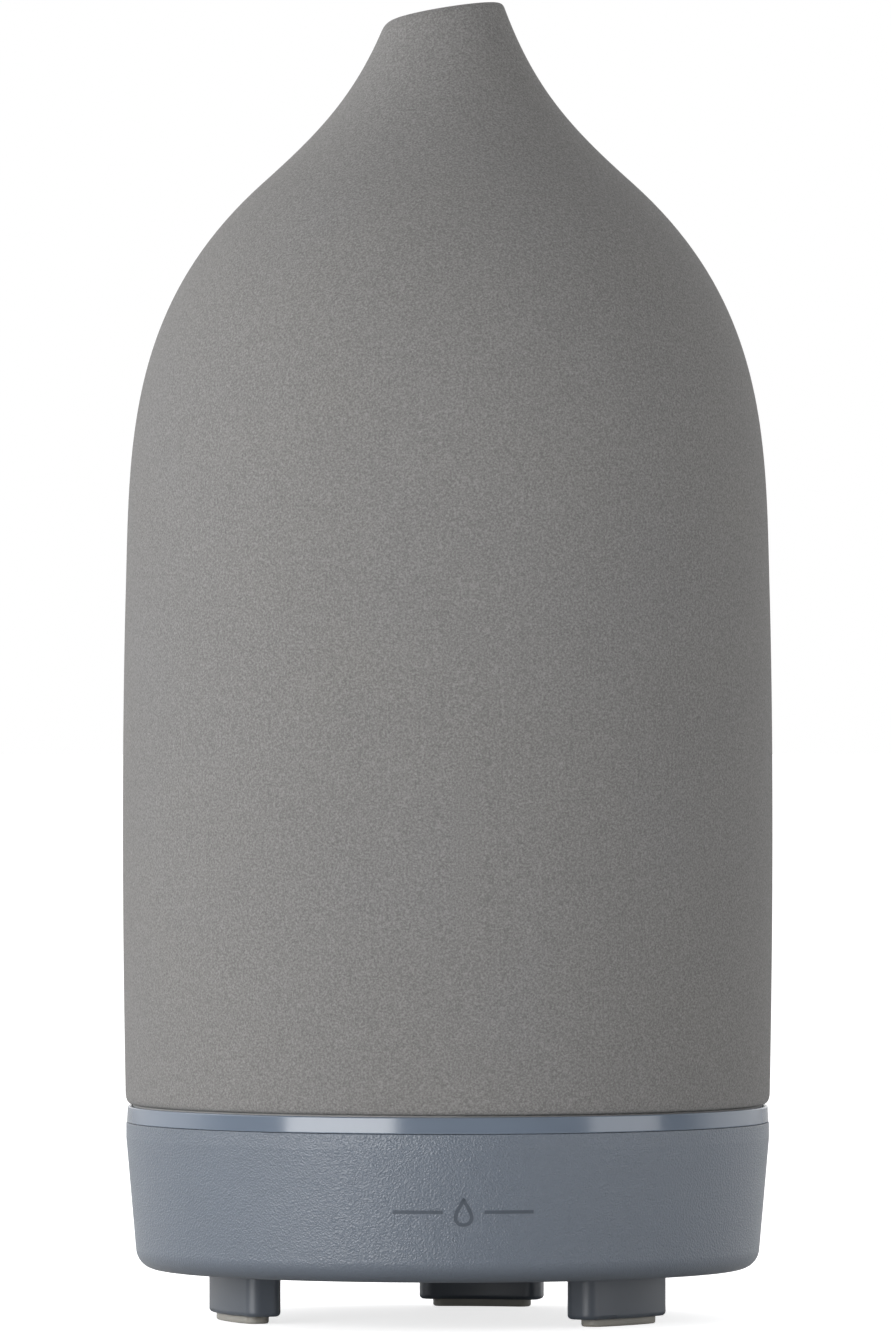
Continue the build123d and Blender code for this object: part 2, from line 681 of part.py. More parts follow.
def transducer_leads():
    starts = [(2.5, y, DISC_Z[0]) for y in (1.4, 2.6)]
    return wires(starts, lead_drop(DISC_Z[0], -6.5), 2.4)


def led_leads():
    starts = [(-19.9, y, LED_BOARD_Z) for y in (0.4, 1.6)]
    return wires(starts, lead_drop(LED_BOARD_Z, 3.9), 1.9)


def button_leads():
    starts = [(x, BUTTON_BOARD_Y, 19.0) for x in (-3.6, -2.4)]
    return wires(starts, [(0, 0, 0), (0, -1.2, 0), (0, -1.2, 7.0), (0, -4.3, 7.0)], 1.0)


NODES = {
    "stone_cover": stone_cover(),
    "cover_seat_ring": cover_seat_ring(),
    "inner_lid": inner_lid(),
    "tank_housing": tank_housing(),
    "air_tower": air_tower(),
    "deck_gasket": deck_gasket(),
    "base_shell": base_shell(),
    "foot_pads": foot_pads(),
    "base_screws": base_screws(),
    "button_board": button_board(),
    "fan_frame": fan_frame(),
    "fan_bearing": fan_bearing(),
    "fan_stator": fan_stator(),
    "fan_windings": fan_windings(),
    "fan_rotor": fan_rotor(),
    "rotor_magnet": rotor_magnet(),
    "fan_shaft": fan_shaft(),
    "fan_screws": fan_corner_screws(),
    "air_duct": air_duct(),
    "transducer_disc": transducer_disc(),
    "transducer_seal": transducer_seal(),
    "transducer_retainer": transducer_retainer(),
    "transducer_screws": transducer_screws(),
    "led_board": led_board(),
    "light_emitters": light_emitters(),
    "light_lenses": light_lenses(),
    "led_board_screws": led_board_screws(),
    "main_board": main_board(),
    "capacitors": capacitors(),
    "drive_inductor": drive_inductor(),
    "heat_sink": heat_sink(),
    "power_transistor": power_transistor(),
    "control_chip": control_chip(),
    "wire_connectors": wire_connectors(),
    "board_screws": board_screws(),
    "dc_jack": dc_jack(),
    "dc_jack_pin": dc_jack_pin(),
    "fan_leads": fan_leads(),
    "transducer_leads": transducer_leads(),
    "led_leads": led_leads(),
    "button_leads": button_leads(),
}
for kind, button_x in BUTTON_X.items():
    NODES[f"{kind}_button"] = button(button_x)
    NODES[f"{kind}_switch"] = switch(button_x)
    NODES[f"{kind}_switch_plunger"] = switch_plunger(button_x)

os.makedirs("parts", exist_ok=True)
for name, shape in NODES.items():
    whole = Compound(children=shape) if isinstance(shape, list) else shape
    export_step(whole, f"parts/{name}.step")
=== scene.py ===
import json
import math

import bpy
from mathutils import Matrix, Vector

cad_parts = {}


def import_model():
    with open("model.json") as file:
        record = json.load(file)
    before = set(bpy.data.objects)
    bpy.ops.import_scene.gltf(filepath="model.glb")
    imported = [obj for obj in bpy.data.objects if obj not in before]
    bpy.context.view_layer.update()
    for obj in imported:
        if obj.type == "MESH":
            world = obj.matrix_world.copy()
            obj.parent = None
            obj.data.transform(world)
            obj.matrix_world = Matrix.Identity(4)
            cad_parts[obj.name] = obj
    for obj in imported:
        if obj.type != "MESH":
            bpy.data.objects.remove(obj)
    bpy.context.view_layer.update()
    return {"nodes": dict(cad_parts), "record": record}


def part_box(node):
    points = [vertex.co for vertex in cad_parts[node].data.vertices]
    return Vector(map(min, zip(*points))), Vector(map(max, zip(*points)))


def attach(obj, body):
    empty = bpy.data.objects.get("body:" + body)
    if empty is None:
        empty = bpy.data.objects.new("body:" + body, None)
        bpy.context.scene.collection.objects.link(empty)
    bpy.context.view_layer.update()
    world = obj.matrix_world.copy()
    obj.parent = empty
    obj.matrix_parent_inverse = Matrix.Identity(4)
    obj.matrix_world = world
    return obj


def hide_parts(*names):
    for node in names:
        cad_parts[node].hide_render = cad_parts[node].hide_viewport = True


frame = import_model()

# Looks of an ultrasonic essential oil diffuser. Lengths below are millimetres, and MM turns them
# into the frame's metres; a name ending in _M is in metres already. Angles round the axis are
# degrees from the front (-Y) to the right (+X).
MM = 0.001

# The stone cover's outline, (radius, height), and its slanted mouth
COVER_FOOT = [(42.8, 29.0), (43.35, 29.05), (43.6, 29.7), (43.6, 30.6)]
COVER_BELLY = [(43.6, 30.6), (44.0, 52.0), (44.15, 75.0), (43.6, 97.0)]
COVER_SHOULDER = [(43.6, 97.0), (43.0, 117.0), (44.0, 136.5), (25.0, 153.5)]
COVER_NECK = [(25.0, 153.5), (15.5, 162.0), (10.0, 168.0), (5.5, 184.0)]
BORE_NECK = [(23.0, 150.0), (17.0, 154.9), (4.5, 169.0), (4.0, 184.0)]
BORE_SHOULDER = [(39.7, 97.0), (39.5, 116.0), (39.0, 137.0), (23.0, 150.0)]
BORE_FOOT = [(39.7, 97.0), (39.9, 29.6), (40.5, 29.0)]
MOUTH_Z = 176.75
MOUTH_SLOPE = math.tan(math.radians(9.5))
MOUTH_HIGH_SIDE = 69.0

# Rounds at the lip; the outer one is this much smaller on the mouth's high side
LIP_ROUND = 1.15
LIP_ROUND_LEAN = 0.35
BORE_ROUND = 0.9

# Divisions of the cover's mesh, round the axis and along each run of its section
COVER_SEGMENTS = 224
FOOT_STEPS, BELLY_STEPS, SHOULDER_STEPS, NECK_STEPS = 6, 22, 40, 30
ROUND_STEPS, BORE_STEPS, BORE_FOOT_STEPS = 6, 20, 10

# The small change of a curve's parameter that its speed is taken from
NUDGE = 0.01

# The base shell's side wall, as (radius, height), and the mark on it: a drop and two bars
WALL_FOOT = (41.95, 6.7)
WALL_KNEE = (43.5, 24.5)
MARK_Z = 16.2
MARK_DROP = (3.4, 1.55)
MARK_PROUD = 0.02
DROP_LINE, BAR_LINE = 0.46, 0.44
BAR_START, BAR_STEP, BAR_POINTS = 2.8, 0.6, 12

# The buttons' symbols: a drop for mist, a disc with rays for light. A drop is (height, bulge).
BUTTON_FACE_R = 43.35
ICON_DROP = (2.6, 1.178)
ICON_LINE, RAY_LINE = 0.24, 0.22
DISC_R, DISC_POINTS = 0.62, 24
RAY_RADII = (1.0, 1.25, 1.5)
RAYS = 8

# How far raised lines stand out of a surface and reach into it, and the drop's outline
PROUD, SUNK = 0.04, 0.05
DROP_STEPS = 40
DROP_SHARPNESS = 1.6

# Colours shared by several pieces, linear red, green and blue
BLUE_GREY = (0.146, 0.177, 0.224)
TRIM_BLUE = (0.160, 0.197, 0.253)
STONE = (0.224, 0.220, 0.216)

# Heights between which the base's leather grain fades in and the painted shade of its feet and
# underside fades out, and the edge of the disc's silvering
GRAIN_AND_SHADE_FROM, GRAIN_AND_SHADE_TO = 6.8, 9.5
SILVER_R, SILVER_EDGE = 6.8, 0.1

# Camera and studio; the aim is sideways and up from the foot of the axis
CAMERA_AZIMUTH = -2.8
CAMERA_DISTANCE = 1840.0
CAMERA_HEIGHT = 99.5
CAMERA_AIM = (-0.3, 87.9)
CAMERA_VIEW_HEIGHT = 180.8
SENSOR = 36.0
CLIP_M = (0.1, 50.0)
FRONT_LIGHT, BACK_LIGHT, BACKDROP_EDGE = 0.08, 1.16, 0.35
FLOOR_GLOW = 0.75
FLOOR_HALF_M = 6.0

# Soft boxes: angle round the axis, distance, height of the middle, width and height, watts
SOFT_BOXES = {
    "key_left": (-41.5, 1000.0, 288.0, (740.0, 566.0), 7.1),
    "side_left": (-95.0, 1000.0, 580.0, (900.0, 640.0), 3.6),
    "fill_right": (63.0, 1000.0, 510.0, (520.0, 1000.0), 3.2),
}


def polar(radius, angle, height=0.0):
    turn = math.radians(angle)
    return Vector((radius * math.sin(turn), -radius * math.cos(turn), height)) * MM


# ---- meshes ----

def mesh_piece(name, points, faces, material, body, smooth=True):
    mesh = bpy.data.meshes.new(name)
    mesh.from_pydata([tuple(p) for p in points], [], faces)
    mesh.validate()
    mesh.polygons.foreach_set("use_smooth", [smooth] * len(mesh.polygons))
    piece = bpy.data.objects.new(name, mesh)
    bpy.context.scene.collection.objects.link(piece)
    mesh.materials.append(material)
    if body:
        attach(piece, body)
    return piece


def loop_faces(rows, columns):
    """Quads between the rows of a closed grid, a torus in topology."""
    faces = []
    for row in range(rows):
        for column in range(columns):
            next_row, next_column = (row + 1) % rows, (column + 1) % columns
            faces.append(
                (
                    row * columns + column,
                    row * columns + next_column,
                    next_row * columns + next_column,
                    next_row * columns + column,
                )
            )
    return faces


def bezier_point(points, t):
    weights = ((1 - t) ** 3, 3 * (1 - t) ** 2 * t, 3 * (1 - t) * t**2, t**3)
    return Vector([sum(w * p[axis] for w, p in zip(weights, points)) for axis in (0, 1)])


def bezier_run(points, steps, last=1.0):
    return [bezier_point(points, last * i / steps) for i in range(1, steps + 1)]


def corner_run(start, corner, end, steps):
    """A rounded corner, from start to end, as a quadratic curve pulled to the corner."""
    run = []
    for i in range(1, steps + 1):
        t = i / steps
        run.append(start * (1 - t) ** 2 + corner * 2 * t * (1 - t) + end * t**2)
    return run


# ---- the stone cover, whose mouth is cut aslant ----

def mouth_cut(neck, slope):
    """Where a neck curve meets the slanted mouth, found by halving: its parameter and the point."""
    low, high = 0.0, 1.0
    for _ in range(30):
        middle = (low + high) / 2
        radius, height = bezier_point(neck, middle)
        low, high = (low, middle) if height > MOUTH_Z + slope * radius else (middle, high)
    return low, bezier_point(neck, low)


def cover_outline(angle):
    """The cover's closed section at one angle, as (radius, height) points, always as many."""
    lean = math.cos(math.radians(angle - MOUTH_HIGH_SIDE))
    slope = MOUTH_SLOPE * lean
    outer_round = LIP_ROUND - LIP_ROUND_LEAN * lean
    outer_t, outer_corner = mouth_cut(COVER_NECK, slope)
    inner_t, inner_corner = mouth_cut(BORE_NECK, slope)
    across = (inner_corner - outer_corner).normalized()

    def step_back(neck, t, distance):
        here, before = bezier_point(neck, t), bezier_point(neck, t - NUDGE)
        return t - NUDGE * distance / (here - before).length

    outer_end = step_back(COVER_NECK, outer_t, outer_round)
    inner_end = step_back(BORE_NECK, inner_t, BORE_ROUND)
    foot, wall_top, wall_end, bore_edge = map(Vector, (COVER_FOOT[0], *BORE_FOOT))

    outline = [foot]
    outline += bezier_run(COVER_FOOT, FOOT_STEPS) + bezier_run(COVER_BELLY, BELLY_STEPS)
    outline += bezier_run(COVER_SHOULDER, SHOULDER_STEPS)
    outline += bezier_run(COVER_NECK, NECK_STEPS, outer_end)
    lip_end = outer_corner + across * outer_round
    outline += corner_run(outline[-1], outer_corner, lip_end, ROUND_STEPS)

    down = range(BORE_STEPS, -1, -1)
    bore_neck = [bezier_point(BORE_NECK, inner_end * i / BORE_STEPS) for i in down]
    lip_start = inner_corner - across * BORE_ROUND
    outline += [lip_start] + corner_run(lip_start, inner_corner, bore_neck[0], ROUND_STEPS)
    outline += bore_neck[1:] + bezier_run(BORE_SHOULDER[::-1], BORE_STEPS)
    shares = [i / BORE_FOOT_STEPS for i in range(1, BORE_FOOT_STEPS + 1)]
    outline += [wall_top.lerp(wall_end, share) for share in shares]
    outline += [bore_edge, bore_edge.lerp(foot, 0.5)]
    return outline


def stone_cover(material):
    angles = [360 * column / COVER_SEGMENTS for column in range(COVER_SEGMENTS)]
    outlines = [cover_outline(angle) for angle in angles]
    points = []
    for angle, outline in zip(angles, outlines):
        points += [polar(radius, angle, height) for radius, height in outline]
    faces = [face[::-1] for face in loop_faces(COVER_SEGMENTS, len(outlines[0]))]
    piece = mesh_piece("stone_cover_shell", points, faces, material, "cover")
    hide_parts("stone_cover")


# ---- the mark and the buttons' symbols ----

def ribbon(path, width, closed=False):
    """Left and right edge of a flat line of this width along a 2-D path."""
    edges = []
    count = len(path)
    for i, point in enumerate(path):
        before = path[i - 1] if closed or i else path[i]
        after = path[(i + 1) % count] if closed or i < count - 1 else path[i]
        along = (Vector(after) - Vector(before)).normalized()
        side = Vector((-along[1], along[0])) * width / 2
        edges.append((Vector(point) + side, Vector(point) - side))
    return edges


def raised_line(name, path, width, wrap, material, body, slot, closed=False, proud=PROUD):
    """A thin bar along a path on a curved surface; wrap turns (across, up, out) into a place."""
    points = []
    for left, right in ribbon(path, width, closed):
        points += [wrap(*left, -SUNK), wrap(*left, proud), wrap(*right, proud), wrap(*right, -SUNK)]
    rows = len(path)
    faces = []
    for row in range(rows if closed else rows - 1):
        here, there = row * 4, (row + 1) % rows * 4
        for corner in range(4):
            beside = (corner + 1) % 4
            faces.append((here + corner, here + beside, there + beside, there + corner))
    if not closed:
        last = (rows - 1) * 4
        faces += [(3, 2, 1, 0), (last, last + 1, last + 2, last + 3)]
    piece = mesh_piece(name, points, faces, material, body, smooth=False)


def droplet_path(height, bulge):
    """A water drop's outline, point up, centred on its height."""
    path = []
    for i in range(DROP_STEPS):
        turn = 2 * math.pi * i / DROP_STEPS
        across = bulge * math.sin(turn) * math.sin(turn / 2) ** DROP_SHARPNESS
        path.append((across, height / 2 * math.cos(turn)))
    return path


def circle_path(radius, count):
    turns = [2 * math.pi * i / count for i in range(count)]
    return [(radius * math.cos(turn), radius * math.sin(turn)) for turn in turns]


def on_base_wall(across, up, out):
    height = MARK_Z + up
    share = (height - WALL_FOOT[1]) / (WALL_KNEE[1] - WALL_FOOT[1])
    radius = WALL_FOOT[0] + share * (WALL_KNEE[0] - WALL_FOOT[0]) + out
    return polar(radius, math.degrees(across / radius), height)


def front_mark(material):
    """A drop between two thin bars, printed tone on tone."""
    bar = [(BAR_START + BAR_STEP * i, 0.0) for i in range(BAR_POINTS)]
    bars = {"bar_right": bar, "bar_left": [(-x, z) for x, z in bar]}
    place = (on_base_wall, material, "base", "base_plastic")
    drop = droplet_path(*MARK_DROP)
    raised_line("front_mark_drop", drop, DROP_LINE, *place, closed=True, proud=MARK_PROUD)
    for side, path in bars.items():
        raised_line(f"front_mark_{side}", path, BAR_LINE, *place, proud=MARK_PROUD)


def button_icons(material):
    """A symbol on the curved face of each button, which rides with its button."""
    centres = {}
    for kind in ("mist", "light"):
        low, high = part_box(f"{kind}_button")
        centres[kind] = ((low.x + high.x) / 2 / MM, (low.z + high.z) / 2 / MM)

    def on_button(kind):
        def wrap(across, up, out):
            x, z = centres[kind][0] - across, centres[kind][1] + up
            return Vector((x, math.sqrt((BUTTON_FACE_R + out) ** 2 - x**2), z)) * MM
        return wrap

    mist = (on_button("mist"), material, "mist_key", "button_plastic")
    light = (on_button("light"), material, "light_key", "button_plastic")
    raised_line("mist_icon", droplet_path(*ICON_DROP), ICON_LINE, *mist, closed=True)
    disc = circle_path(DISC_R, DISC_POINTS)
    raised_line("light_icon_disc", disc, ICON_LINE, *light, closed=True)
    for n in range(RAYS):
        turn = 2 * math.pi * n / RAYS
        ray = [(r * math.cos(turn), r * math.sin(turn)) for r in RAY_RADII]
        raised_line(f"light_icon_ray_{n}", ray, RAY_LINE, *light)


# ---- materials ----

# Colour sockets of a Mix node, and the bands, light and dark, that a Wave texture makes to a
# unit of its scale
MIX_A, MIX_B, MIX_RESULT = 6, 7, 2
WAVE_BANDS = 6.3


class Surface:
    """A node material whose patterns are sized in millimetres, on the object's own coordinates."""

    def __init__(self, name, roughness=0.5, metallic=0.0, specular=0.5):
        self.material = bpy.data.materials.new(name)
        self.material.use_nodes = True
        self.nodes = self.material.node_tree.nodes
        self.nodes.clear()
        self.shader = self.nodes.new("ShaderNodeBsdfPrincipled")
        output = self.nodes.new("ShaderNodeOutputMaterial")
        self.link(self.shader.outputs["BSDF"], output.inputs["Surface"])
        self.set("Roughness", roughness)
        self.set("Metallic", metallic)
        self.set("Specular IOR Level", specular)
        self.place = self.nodes.new("ShaderNodeTexCoord").outputs["Object"]
        self.normal = None

    def link(self, source, target):
        self.material.node_tree.links.new(source, target)

    def set(self, socket, value):
        self.shader.inputs[socket].default_value = value

    def texture(self, kind, size, **settings):
        """A texture whose features are about this many millimetres across."""
        node = self.nodes.new(f"ShaderNodeTex{kind}")
        node.inputs["Scale"].default_value = 1 / (size * MM)
        for key, value in settings.items():
            if key in node.inputs:
                node.inputs[key].default_value = value
            else:
                setattr(node, key, value)
        self.link(self.place, node.inputs["Vector"])
        return node

    def noise(self, size, detail=2.0, rough=0.5):
        return self.texture("Noise", size, Detail=detail, Roughness=rough).outputs["Fac"]

    def span(self, source, low, high, to_low=0.0, to_high=1.0):
        """A value mapped, and held, from one range to another."""
        node = self.nodes.new("ShaderNodeMapRange")
        limits = {"From Min": low, "From Max": high, "To Min": to_low, "To Max": to_high}
        for socket, value in limits.items():
            node.inputs[socket].default_value = value
        self.link(source, node.inputs["Value"])
        return node.outputs["Result"]

    def math(self, operation, first, second):
        node = self.nodes.new("ShaderNodeMath")
        node.operation = operation
        for socket, value in zip(node.inputs, (first, second)):
            if isinstance(value, (int, float)):
                socket.default_value = value
            else:
                self.link(value, socket)
        return node.outputs["Value"]

    def warped(self, size, amount):
        """Object coordinates pushed about by noise of this size, by up to this many millimetres."""
        node = self.texture("Noise", size, Detail=1.0)
        shift = self.nodes.new("ShaderNodeVectorMath")
        shift.operation = "MULTIPLY_ADD"
        self.link(node.outputs["Color"], shift.inputs[0])
        shift.inputs[1].default_value = (amount * MM,) * 3
        self.link(self.place, shift.inputs[2])
        return shift.outputs["Vector"]

    def axis(self, name):
        node = self.nodes.new("ShaderNodeSeparateXYZ")
        self.link(self.place, node.inputs["Vector"])
        return node.outputs[name]

    def blend(self, share, first, second):
        node = self.nodes.new("ShaderNodeMix")
        node.data_type = "RGBA"
        self.link(share, node.inputs["Factor"])
        for index, value in ((MIX_A, first), (MIX_B, second)):
            if isinstance(value, tuple):
                node.inputs[index].default_value = (*value, 1.0)
            else:
                self.link(value, node.inputs[index])
        return node.outputs[MIX_RESULT]

    def colour(self, source):
        self.link(source, self.shader.inputs["Base Color"])

    def rough(self, source):
        self.link(source, self.shader.inputs["Roughness"])

    def bump(self, height, depth, strength=1.0):
        node = self.nodes.new("ShaderNodeBump")
        node.inputs["Strength"].default_value = strength
        node.inputs["Distance"].default_value = depth * MM
        self.link(height, node.inputs["Height"])
        if self.normal is not None:
            self.link(self.normal, node.inputs["Normal"])
        self.normal = node.outputs["Normal"]
        self.link(self.normal, self.shader.inputs["Normal"])


def shaded(colour, factor):
    return tuple(min(1.0, c * factor) for c in colour)


def mottled(name, colour, roughness, grain=0.6, depth=0.01, specular=0.5, spread=0.06):
    """Plain plastic or rubber: faint mottling, a fine grain and uneven gloss."""
    s = Surface(name, roughness, specular=specular)
    cloud, fine = s.noise(9.0, 3.0), s.noise(grain, 3.0)
    darker, paler = shaded(colour, 1 - spread), shaded(colour, 1 + spread)
    s.colour(s.blend(s.span(cloud, 0.3, 0.7), darker, paler))
    s.rough(s.span(fine, 0.3, 0.7, roughness * 0.88, min(1.0, roughness * 1.12)))
    s.bump(fine, depth)
    return s


def moulded(*look):
    """The finished material of a mottled surface, with nothing added."""
    return mottled(*look).material


def stoneware():
    """Unglazed stoneware: neutral grey body, fine sandy grain, and rare pale specks."""
    s = Surface("stoneware_matt", 0.88, specular=0.25)
    cloud, patch = s.noise(30.0, 2.0), s.noise(14.0, 3.0)
    grain, fine = s.noise(0.26, 3.0, 0.7), s.noise(0.13, 1.0)
    tone = s.blend(s.span(cloud, 0.35, 0.65), (0.226, 0.221, 0.213), (0.222, 0.219, 0.218))
    tone = s.blend(s.span(patch, 0.3, 0.7), shaded(STONE, 0.97), tone)
    dark = s.blend(s.span(grain, 0.32, 0.5), shaded(STONE, 0.66), tone)
    pale = s.blend(s.span(grain, 0.5, 0.68), dark, shaded(STONE, 1.38))
    cells = s.texture("Voronoi", 1.4)
    chosen = s.span(cells.outputs["Color"], 0.84, 0.86)
    spot = s.span(cells.outputs["Distance"], 0.05, 0.11, 1.0, 0.0)
    s.colour(s.blend(s.math("MULTIPLY", chosen, spot), pale, shaded(STONE, 1.5)))
    s.rough(s.span(grain, 0.3, 0.7, 0.82, 0.95))
    s.bump(grain, 0.06, 0.8)
    s.bump(fine, 0.03, 0.6)
    s.bump(patch, 0.1, 0.3)
    return s.material


def base_plastic():
    """Blue-grey plastic, with a fine leather grain on the walls, and smooth feet and underside that
    are painted at half brightness as painted shade.
    """
    s = Surface("base_grain_and_painted_shade", 0.45, specular=1.0)
    walls = s.span(s.axis("Z"), GRAIN_AND_SHADE_FROM * MM, GRAIN_AND_SHADE_TO * MM)
    wrinkles = s.texture("Voronoi", 0.26, feature="SMOOTH_F1", Smoothness=0.5)
    s.link(s.warped(0.3, 0.25), wrinkles.inputs["Vector"])
    grain = s.math("MULTIPLY", wrinkles.outputs["Distance"], walls)
    pebble = s.math("MULTIPLY", s.noise(0.17, 1.0), walls)
    cloud = s.noise(14.0, 2.0)
    grained = s.blend(s.span(cloud, 0.3, 0.7), shaded(BLUE_GREY, 0.85), shaded(BLUE_GREY, 0.89))
    # Painted shade: below the walls the feet and underside take half the blue-grey.
    s.colour(s.blend(walls, shaded(BLUE_GREY, 0.5), grained))
    s.rough(s.span(walls, 0.0, 1.0, 0.42, 0.36))
    s.bump(grain, 0.095)
    s.bump(pebble, 0.045)
    return s.material


def brushed(name, colour, roughness, size=0.5, depth=0.004):
    """Bare metal with small scuffs and slightly uneven tone."""
    s = Surface(name, roughness, metallic=1.0)
    scuffs = s.noise(size, 4.0, 0.7)
    patches = s.noise(3.0, 3.0)
    s.colour(s.blend(s.span(patches, 0.3, 0.7), shaded(colour, 0.88), shaded(colour, 1.08)))
    s.rough(s.span(scuffs, 0.3, 0.7, roughness * 0.75, roughness * 1.3))
    s.bump(scuffs, depth)
    return s.material


def ridged(name, colour, dark, width, direction="Z", roughness=0.4, depth=0.05):
    """Metal in fine parallel ridges, about this wide, as laminations, fins or wound wire. The
    grooves take the darker colour: on laminations it is their own dark joints, and on fins and wire
    it is painted shade.
    """
    s = Surface(name, roughness, metallic=1.0)
    wave = s.texture("Wave", width * WAVE_BANDS, bands_direction=direction, Distortion=0.2)
    s.colour(s.blend(wave.outputs["Fac"], dark, colour))
    s.bump(wave.outputs["Fac"], depth)
    return s.material


def circuit_board(name, mask, trace):
    """Solder mask over copper: tracks show as slightly paler and raised lines, with tinned dots."""
    s = Surface(name, 0.3)
    tracks = s.texture("Voronoi", 2.6, feature="DISTANCE_TO_EDGE")
    line = s.span(tracks.outputs["Distance"], 0.05, 0.08, 1.0, 0.0)
    pads = s.texture("Voronoi", 2.2)
    dot = s.span(pads.outputs["Distance"], 0.12, 0.15, 1.0, 0.0)
    s.colour(s.blend(dot, s.blend(line, mask, trace), (0.6, 0.6, 0.58)))
    s.rough(s.span(s.noise(1.0), 0.3, 0.7, 0.25, 0.4))
    s.bump(line, 0.03)
    return s.material


def clear_plastic():
    s = Surface("clear_lens", 0.06)
    s.set("Transmission Weight", 1.0)
    s.set("IOR", 1.49)
    s.set("Base Color", (0.95, 0.97, 1.0, 1.0))
    s.bump(s.noise(2.0), 0.004, 0.3)
    return s.material


def let_light_in(surface, weight, radii):
    """Light spreads under the surface, by these distances for red, green and blue."""
    surface.set("Subsurface Weight", weight)
    surface.set("Subsurface Radius", [radius * MM for radius in radii])
    surface.set("Subsurface Scale", 1.0)
    return surface.material


def frosted_lid():
    s = mottled("frosted_lid", (0.60, 0.62, 0.63), 0.42, grain=0.4, depth=0.012, spread=0.03)
    return let_light_in(s, 0.25, (2.0, 2.0, 2.0))


def pad_silicone():
    s = mottled("pad_silicone", (0.36, 0.345, 0.31), 0.5, grain=0.3, depth=0.01, spread=0.05)
    return let_light_in(s, 0.2, (1.5, 1.2, 1.0))


def transducer_ceramic():
    """A cream disc with a silvered face and a bare ring near its edge."""
    s = Surface("transducer_face", 0.3)
    x, y = s.axis("X"), s.axis("Y")
    square = s.math("ADD", s.math("MULTIPLY", x, x), s.math("MULTIPLY", y, y))
    radius = s.math("SQRT", square, 0.0)
    silver = s.span(radius, SILVER_R * MM, (SILVER_R + SILVER_EDGE) * MM, 1.0, 0.0)
    scuffs = s.noise(1.2, 4.0)
    plated = s.blend(s.span(scuffs, 0.3, 0.7), (0.62, 0.61, 0.58), (0.78, 0.77, 0.74))
    s.colour(s.blend(silver, (0.62, 0.56, 0.42), plated))
    s.link(silver, s.shader.inputs["Metallic"])
    s.bump(scuffs, 0.004)
    return s.material


# ---- studio ----

def soft_box(name, angle, distance, height, size, watts):
    """An upright rectangular lamp that faces the axis."""
    light = bpy.data.lights.new(name, "AREA")
    light.shape = "RECTANGLE"
    light.size, light.size_y = size[0] * MM, size[1] * MM
    light.energy = watts
    lamp = bpy.data.objects.new(name, light)
    lamp.location = polar(distance, angle, height)
    aim = Vector((0, 0, height * MM)) - lamp.location
    lamp.rotation_euler = aim.to_track_quat("-Z", "Y").to_euler()
    bpy.context.scene.collection.objects.link(lamp)


def floor():
    """Pale floor, bright enough to the camera that it meets the white surround without an edge."""
    s = mottled("studio_floor", (0.86, 0.86, 0.86), 0.8, grain=3.0, depth=0.0, spread=0.01)
    ray = s.nodes.new("ShaderNodeLightPath")
    glow = s.math("MULTIPLY", ray.outputs["Is Camera Ray"], FLOOR_GLOW)
    s.set("Emission Color", (1.0, 1.0, 1.0, 1.0))
    s.link(glow, s.shader.inputs["Emission Strength"])
    signs = ((-1, -1), (1, -1), (1, 1), (-1, 1))
    corners = [(x * FLOOR_HALF_M, y * FLOOR_HALF_M, 0) for x, y in signs]
    plane = mesh_piece("studio_floor", corners, [(0, 1, 2, 3)], s.material, None)


def world():
    """White surround: dim in front, bright behind, and plain white where the camera sees it."""
    made = bpy.data.worlds.new("studio")
    bpy.context.scene.world = made
    made.use_nodes = True
    nodes, links = made.node_tree.nodes, made.node_tree.links
    nodes.clear()
    output = nodes.new("ShaderNodeOutputWorld")
    surround, backdrop = nodes.new("ShaderNodeBackground"), nodes.new("ShaderNodeBackground")
    direction, parts = nodes.new("ShaderNodeTexCoord"), nodes.new("ShaderNodeSeparateXYZ")
    links.new(direction.outputs["Generated"], parts.inputs["Vector"])
    ramp = nodes.new("ShaderNodeMapRange")
    ramp.inputs["From Max"].default_value = BACKDROP_EDGE
    ramp.inputs["To Min"].default_value = FRONT_LIGHT
    ramp.inputs["To Max"].default_value = BACK_LIGHT
    links.new(parts.outputs["Y"], ramp.inputs["Value"])
    links.new(ramp.outputs["Result"], surround.inputs["Color"])
    surround.inputs["Strength"].default_value = 1.0
    backdrop.inputs["Color"].default_value = (1.0, 1.0, 1.0, 1.0)
    backdrop.inputs["Strength"].default_value = 1.0
    ray, mix = nodes.new("ShaderNodeLightPath"), nodes.new("ShaderNodeMixShader")
    links.new(ray.outputs["Is Camera Ray"], mix.inputs["Fac"])
    links.new(surround.outputs["Background"], mix.inputs[1])
    links.new(backdrop.outputs["Background"], mix.inputs[2])
    links.new(mix.outputs["Shader"], output.inputs["Surface"])


def camera():
    data = bpy.data.cameras.new("photo_view")
    data.sensor_width = SENSOR
    data.lens = SENSOR * CAMERA_DISTANCE / CAMERA_VIEW_HEIGHT
    data.clip_start, data.clip_end = CLIP_M
    made = bpy.data.objects.new("photo_view", data)
    made.location = polar(CAMERA_DISTANCE, CAMERA_AZIMUTH, CAMERA_HEIGHT)
    turn = math.radians(CAMERA_AZIMUTH)
    sideways, up = CAMERA_AIM
    aim = Vector((sideways * math.cos(turn), sideways * math.sin(turn), up)) * MM
    made.rotation_euler = (aim - made.location).to_track_quat("-Z", "Y").to_euler()
    bpy.context.scene.collection.objects.link(made)
    bpy.context.scene.camera = made


# ---- the object ----

def paint(materials):
    """Gives each CAD node the material of its slot."""
    for row in frame["record"]["subparts"]:
        node = frame["nodes"][row["node"]]
        node.data.materials.clear()
        node.data.materials.append(materials[row["material_slot"]])


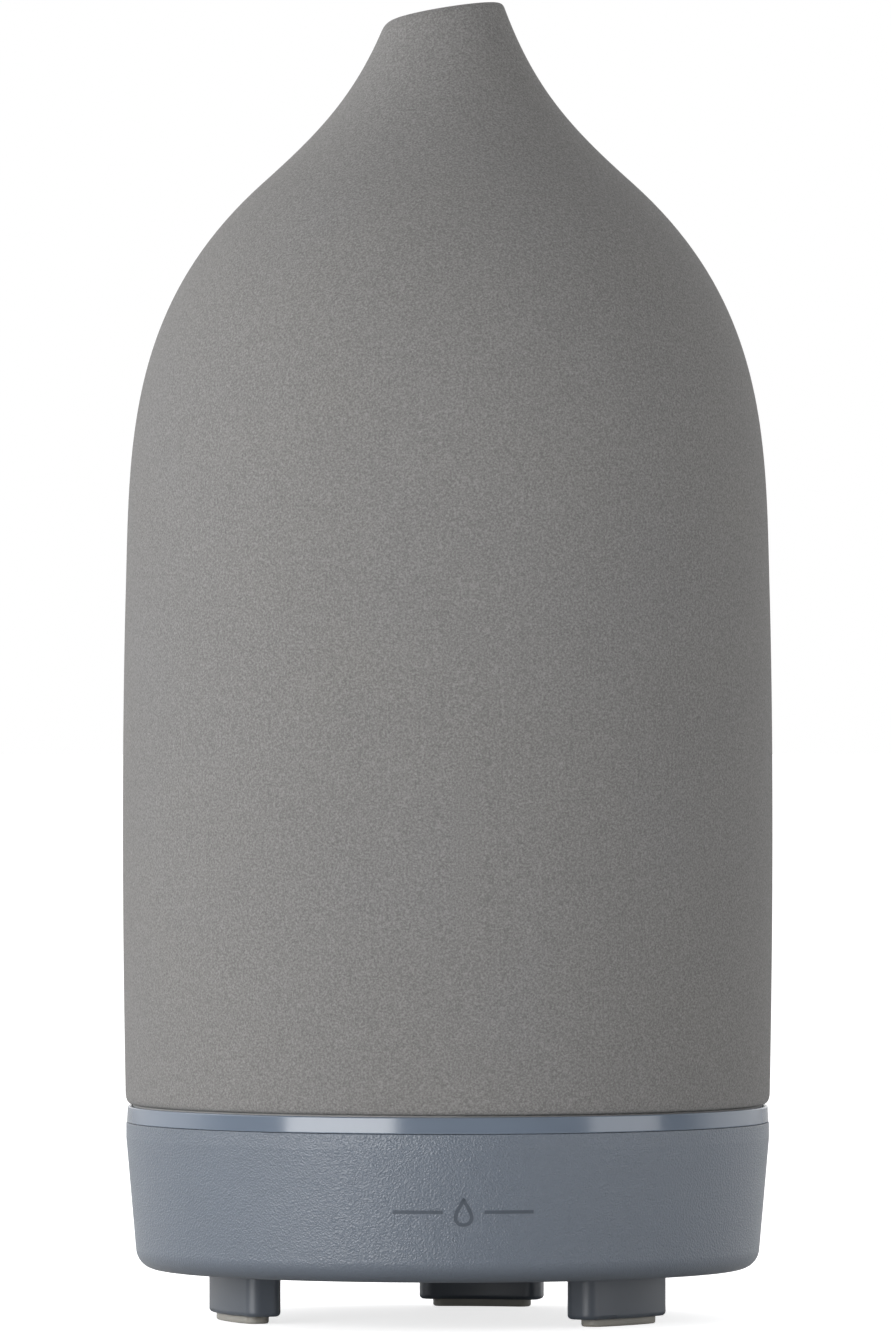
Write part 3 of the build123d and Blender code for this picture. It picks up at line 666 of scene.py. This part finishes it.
def slot_materials():
    """A material for each slot of the record."""
    pale_ridge, dark_ridge = (0.36, 0.36, 0.37), (0.12, 0.12, 0.12)
    # Painted shade: the darker colours between the wire's turns and between the fins; the
    # laminations' dark lines are their own.
    wire, wire_gap_shade = (0.68, 0.28, 0.1), (0.2, 0.06, 0.02)
    fin, fin_gap_shade = (0.74, 0.74, 0.75), (0.5, 0.5, 0.51)
    return {
        "stoneware": stoneware(),
        "base_plastic": base_plastic(),
        "housing_plastic": moulded("housing_gloss", TRIM_BLUE, 0.15, 2.5, 0.002, 0.8, 0.02),
        "lid_plastic": frosted_lid(),
        "silicone": pad_silicone(),
        "dark_silicone": moulded("seat_silicone", (0.35, 0.35, 0.35), 0.5),
        "button_plastic": moulded("button_satin", shaded(BLUE_GREY, 0.85), 0.32, 0.4),
        "screw_steel": brushed("zinc_steel", (0.55, 0.55, 0.56), 0.35),
        "fan_plastic": moulded("fan_black", (0.016, 0.016, 0.017), 0.42),
        "duct_plastic": moulded("duct_natural", (0.72, 0.71, 0.67), 0.5),
        "shaft_steel": brushed("ground_steel", (0.66, 0.66, 0.67), 0.18),
        "bearing_brass": brushed("sintered_brass", (0.58, 0.43, 0.2), 0.38, 0.25, 0.01),
        "magnet": moulded("bonded_ferrite", (0.05, 0.046, 0.043), 0.7, 0.2, 0.02),
        "lamination": ridged("laminations", pale_ridge, dark_ridge, 0.5),
        "copper": ridged("copper_winding", wire, wire_gap_shade, 0.28, roughness=0.3),
        "circuit_board": circuit_board("green_board", (0.012, 0.11, 0.045), (0.03, 0.2, 0.08)),
        "white_board": circuit_board("white_board", (0.75, 0.75, 0.73), (0.6, 0.6, 0.58)),
        "emitter": moulded("phosphor", (0.85, 0.66, 0.18), 0.3, 0.2),
        "clear_plastic": clear_plastic(),
        "component_black": moulded("black_epoxy", (0.022, 0.022, 0.023), 0.5),
        "connector_white": moulded("nylon", (0.74, 0.71, 0.62), 0.45),
        "capacitor_sleeve": moulded("shrink_sleeve", (0.02, 0.028, 0.08), 0.3),
        "ferrite": moulded("ferrite", (0.06, 0.057, 0.053), 0.65, 0.2, 0.02),
        "heat_sink_metal": ridged("extruded_aluminium", fin, fin_gap_shade, 0.4, "X", 0.35, depth=0.01),
        "contact_metal": brushed("nickel", (0.7, 0.67, 0.6), 0.2),
        "transducer_ceramic": transducer_ceramic(),
        "retainer_steel": brushed("stamped_stainless", (0.6, 0.6, 0.61), 0.3),
        "wire_sleeve": moulded("lead_sleeves", (0.32, 0.02, 0.02), 0.35, 1.0, 0.004),
    }


materials = slot_materials()
paint(materials)
stone_cover(materials["stoneware"])
front_mark(moulded("mark_print", shaded(BLUE_GREY, 0.5), 0.5, 0.3))
button_icons(moulded("icon_print", (0.55, 0.58, 0.6), 0.5, 0.3))
floor()
world()
for name, place in SOFT_BOXES.items():
    soft_box(name, *place)
camera()
bpy.context.scene.view_settings.view_transform = "Standard"
